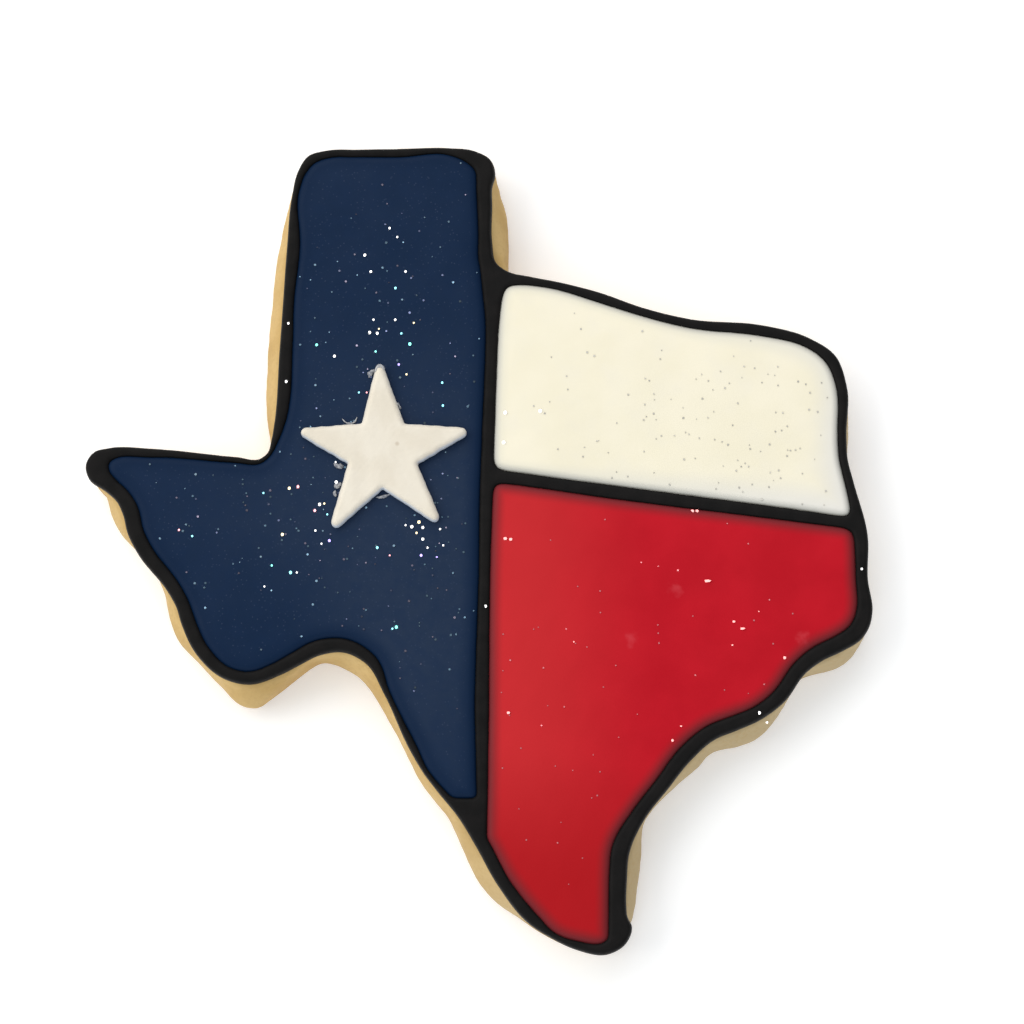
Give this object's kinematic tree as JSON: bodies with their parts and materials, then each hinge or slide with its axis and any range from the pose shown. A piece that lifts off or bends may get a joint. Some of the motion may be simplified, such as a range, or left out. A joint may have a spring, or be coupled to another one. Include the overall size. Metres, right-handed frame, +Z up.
{
  "type": "decorated sugar cookie",
  "caption": "Flat iced sugar cookie in the outline of Texas, flooded in blue, white and red behind piped black lines, with a raised white star",
  "frame": {"origin": "under the middle of the cookie's bounding box, on the flat surface that it lies on", "axes": "+Z up through the thickness, iced face up; +Y towards the square northern end of the outline; +X towards its eastern side, with the blue field at -X"},
  "size_m": [0.1005, 0.1048, 0.0111],
  "materials": {
    "baked_dough": "dry baked crumb, matte",
    "black_icing": "dried piped icing, low sheen",
    "blue_icing": "dried flooded icing, satin, with glitter",
    "white_icing": "dried flooded icing, satin",
    "red_icing": "dried flooded icing, satin",
    "star_icing": "cut rolled icing, matte"
  },
  "bodies": {
    "root": {"cookie": "baked_dough", "black_line": "black_icing", "blue_icing": "blue_icing", "white_icing": "white_icing", "red_icing": "red_icing", "star": "star_icing"}
  },
  "joints": []
}
